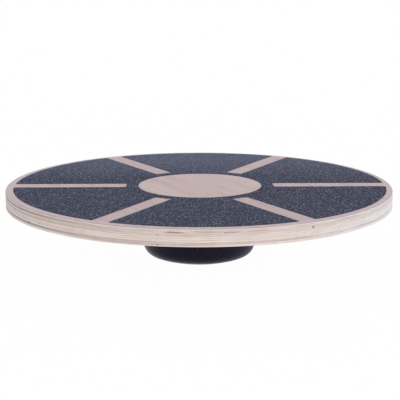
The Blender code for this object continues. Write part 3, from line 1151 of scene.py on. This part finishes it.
# %% Webs, gussets and hub
def make_webs():
    """One web with its gusset, softened, and its copies round the hub."""
    top = BOWL_HIGH - WEB_DROP
    reach = wall_radius(FLANGE_UNDER) + GUSSET_REACH
    hub_middle = HUB_OUTER - HUB_WALL / 2
    outline = [(hub_middle, top), (reach, top), (reach, FLANGE_UNDER + WEB_DROP)]
    outline += bowl_side(FLANGE_UNDER - GUSSET_HEIGHT, WALL / 2, hub_middle)
    web = drawn_plate("web", outline, WEB)
    corners = {"limit_method": "ANGLE", "angle_limit": radians(60)}
    applied(web, "BEVEL", width=WEB_ROUND, segments=2, **corners)
    webs = on_screw_circle(web)
    settle(webs, turn=pi / SCREW_COUNT)
    return webs


def make_hub():
    inner = HUB_OUTER - HUB_WALL
    foot = CROWN_Z - sqrt((CROWN_RADIUS - WALL / 2) ** 2 - (HUB_OUTER - HUB_WALL / 2) ** 2)
    ring = [(inner, BOWL_HIGH), (HUB_OUTER, BOWL_HIGH), (HUB_OUTER, foot), (inner, foot)]
    return drawn_round("hub", ring + ring[:1], HUB_STEPS)


# %% Parting line
PARTING_WIDTH = 0.0005
PARTING_PROUD = 0.0002
PARTING_TURN = radians(-91.5)
PARTING_LOW = 0.0140
PARTING_RISE = 0.0040


def make_parting_line():
    """A hair of flash down the front and back, where the mould's halves meet."""
    high = FLANGE_UNDER - FILLET
    stop = wall_radius(high)
    foot = wall_radius(PARTING_LOW)
    outline = [
        (foot - WALL / 2, PARTING_LOW),
        (foot + PARTING_PROUD, PARTING_LOW + PARTING_RISE),
        (stop + PARTING_PROUD, high),
        (stop - WALL / 2, high),
    ]
    front = drawn_plate("parting_front", outline, PARTING_WIDTH)
    back = copied(front, "parting_back")
    settle(front, PARTING_TURN)
    settle(back, PARTING_TURN + pi)
    return joined([front, back])


# %% Build the bowl
SEAT_RADIUS = 0.0045
SEAT_DEPTH = 0.0012
SEAT_STEPS = 48
# Radius and top of each bore
BORES = ((PILOT_RADIUS, BOWL_HIGH + CUT_OVER), (SEAT_RADIUS, FLANGE_UNDER + SEAT_DEPTH))


def make_bowl():
    bowl = drawn_round("base_bowl_moulding", shell_profile(), BOWL_STEPS)
    for part in (make_hub(), make_webs(), make_parting_line()):
        combined(bowl, part, "UNION")
    low = FLANGE_UNDER - CUT_OVER
    for radius, high in BORES:
        cutter = post("seat_cutter", SEAT_STEPS, radius, low, high, SCREW_CIRCLE)
        combined(bowl, on_screw_circle(cutter), "DIFFERENCE")
    welded(bowl)
    return bowl


# %% Moulded plastic
BLACK = colour(18, 17, 30)
BLACK_LIFTED = colour(24, 22, 38)
# Pale grey of scuffs and rubbing, and of the painted highlight on the seam
SCUFF_AND_SEAM_HIGHLIGHT = colour(78, 78, 90)
SHINE_TINT = (0.86, 0.82, 1.0, 1.0)
BOWL_BLUE = (0.3, 0.25, 1.0, 1.0)
WORN_INNER = 0.020
WORN_OUTER = 0.034
# Half width, span and strength of a short pale line down the seam: partly a trim mark, partly a painted
# highlight
SEAM_LINE_HALF = 0.0004
SEAM_LINE_LOW = 0.0225
SEAM_LINE_HIGH = 0.0255
SEAM_LINE_STRENGTH = 0.4


def seam_trim_and_highlight(tree, place):
    """A pale line down the upper part of the parting line: partly a trim mark, partly a painted
    highlight on the seam.
    """
    x, y, z = apart(tree, place)
    across = sums(tree, "MULTIPLY_ADD", x, -sin(PARTING_TURN), times(tree, y, cos(PARTING_TURN)))
    near = between(tree, sums(tree, "ABSOLUTE", across), SEAM_LINE_HALF, SEAM_LINE_HALF + 0.0001, 1.0, 0.0)
    return times(tree, near, between(tree, z, SEAM_LINE_LOW, SEAM_LINE_HIGH, 0.0, SEAM_LINE_STRENGTH))


def make_plastic():
    """A satin black with a fine moulded texture, and rubbed grey round the pole where it rolls."""
    shine = {"Specular_IOR_Level": 0.2, "Specular_Tint": SHINE_TINT}
    bloom = {"Sheen_Weight": 0.1, "Sheen_Tint": BOWL_BLUE}
    material, tree, shader = new_material("bowl_plastic", IOR=IOR, **shine, **bloom)
    place = object_place(tree)
    worn = between(tree, from_axis(tree, place), WORN_INNER, WORN_OUTER, 1.0, 0.0)
    scuff = use_group(tree, fine_scuffs, Vector=place, Scale=900.0, Amount=0.2)["Mask"]
    rub = times(tree, worn, patches(tree, place, 180.0, 4.0, 0.6, 0.45, 0.6, 0.0, 0.5))
    # The marks take in the painted highlight on the seam as well as scuffs and rubbing.
    marks = sums(tree, "MAXIMUM", sums(tree, "MAXIMUM", scuff, rub), seam_trim_and_highlight(tree, place))
    cloud = between(tree, noise(tree, place, 25.0, 3.0), 0.3, 0.7)
    base = mixed(tree, cloud, BLACK, BLACK_LIFTED)
    shade = mixed(tree, marks, base, SCUFF_AND_SEAM_HIGHLIGHT)
    rough = sums(tree, "MULTIPLY_ADD", marks, 0.3, between(tree, cloud, 0.0, 1.0, 0.3, 0.4))
    height = noise(tree, place, 2600.0, 2.0, 0.6)
    dress(tree, shader, shade, rough, height, distance=0.00002, strength=0.5)
    return material


bowl = make_bowl()
painted(bowl, make_plastic())
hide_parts("base_bowl")
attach(bowl, "root")
print("bowl:", len(bowl.data.polygons), "faces")

# %% [markdown]
# ## Screws
# Six zinc-plated wood screws hold the flange, heads down in their seats. Only the heads show,
# but a screw has a thread, so a thin three-sided wire is wound round the shank by the Screw
# modifier. One screw is made and copied round the circle.

# %% Turned screw
HEAD_LOW = SCREW_LOW.z
HEAD_RADIUS = (SCREW_HIGH.y - SCREW_LOW.y) / 2
HEAD_HEIGHT = 0.0026
HEAD_RIM = 0.0008
HEAD_SEAT = HEAD_LOW + HEAD_HEIGHT
HEAD_CHAMFER = 0.0002
DOME_END = -1.45
DOME_STEPS = 9
SHANK = 0.0020
CORE = 0.0014
CORE_START = HEAD_SEAT + 0.0022
SHANK_END = HEAD_SEAT + 0.0018
POINT = 0.0035
TIP_RADIUS = 0.00015
SCREW_STEPS = 32
THREAD_PITCH = 0.0018
THREAD_TURNS = 5
THREAD_START = HEAD_SEAT + 0.0030
THREAD_STEPS = 24
WIRE = 0.0005


def screw_profile():
    """Point, core, plain shank and domed head, from the tip down."""
    tip = SCREW_HIGH.z
    rim = HEAD_SEAT - HEAD_RIM
    dome = arc(0.0, 0.0, 1.0, 0.0, DOME_END, DOME_STEPS)
    head = [(r * HEAD_RADIUS, rim + z * (HEAD_HEIGHT - HEAD_RIM)) for r, z in dome]
    shank = [(TIP_RADIUS, tip), (CORE, tip - POINT), (CORE, CORE_START), (SHANK, SHANK_END)]
    under = [(SHANK, HEAD_SEAT), (HEAD_RADIUS - HEAD_CHAMFER, HEAD_SEAT)]
    return shank + under + [(HEAD_RADIUS, HEAD_SEAT - HEAD_CHAMFER)] + head


def make_thread():
    """A three-sided wire wound up the core."""
    deselect()
    bpy.ops.mesh.primitive_circle_add(vertices=3, radius=WIRE, rotation=(pi / 2, pi / 2, 0.0))
    thread = bpy.context.object
    thread.location = (SHANK - WIRE, 0.0, THREAD_START)
    bpy.ops.object.transform_apply(location=True, rotation=True)
    turns = {"angle": 2 * pi, "screw_offset": THREAD_PITCH, "iterations": THREAD_TURNS, "axis": "Z"}
    applied(thread, "SCREW", steps=THREAD_STEPS, render_steps=THREAD_STEPS, **turns)
    bpy.ops.object.mode_set(mode="EDIT")
    finish_shell(thread)
    return thread


# Outline of an arm of the cross recess, its width, and how much less deep the second arm goes
BIT = (
    (-0.0022, HEAD_LOW - 0.001),
    (0.0022, HEAD_LOW - 0.001),
    (0.0018, HEAD_LOW + 0.0011),
    (0.0, HEAD_LOW + 0.0015),
    (-0.0018, HEAD_LOW + 0.0011),
)
BIT_WIDTH = 0.0009
ARM_STEP = 0.0001


def make_screw():
    """One screw on the axis, with a cross recess in its head, one arm a hair less deep."""
    screw = drawn_round("flange_screw", screw_profile(), SCREW_STEPS)
    for turn, lift in ((0.0, 0.0), (pi / 2, -ARM_STEP)):
        bit = drawn_plate("bit", list(BIT), BIT_WIDTH)
        settle(bit, turn, (0.0, 0.0, lift))
        combined(screw, bit, "DIFFERENCE")
    welded(screw)
    return joined([screw, make_thread()])


# %% Zinc finish
ZINC_LIGHT = colour(196, 198, 202)
ZINC_DARK = colour(168, 170, 172)
ZINC_RUBBED = colour(120, 120, 122)


def make_zinc():
    material, tree, shader = new_material("screw_zinc", Metallic=1.0)
    place = object_place(tree)
    cloud = between(tree, noise(tree, place, 900.0, 3.0), 0.3, 0.7)
    scuff = use_group(tree, fine_scuffs, Vector=place, Scale=3000.0, Amount=0.8)["Mask"]
    base = mixed(tree, cloud, ZINC_LIGHT, ZINC_DARK)
    shade = mixed(tree, scuff, base, ZINC_RUBBED)
    rough = between(tree, cloud, 0.0, 1.0, 0.24, 0.42)
    dress(tree, shader, shade, rough, cloud, distance=0.00002, strength=0.4)
    return material


TURN_STEP = 0.7


def make_screws():
    first = make_screw()
    painted(first, make_zinc())
    for index in range(SCREW_COUNT):
        node = "flange_screw_" + str(index + 1)
        low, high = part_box(node)
        screw = copied(first, "zinc_screw_" + str(index + 1))
        settle(screw, TURN_STEP * index, ((low.x + high.x) / 2, (low.y + high.y) / 2, 0.0))
        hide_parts(node)
        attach(screw, "root")
    print("screws:", SCREW_COUNT, "of", len(first.data.polygons), "faces")
    bpy.data.objects.remove(first, do_unlink=True)


make_screws()
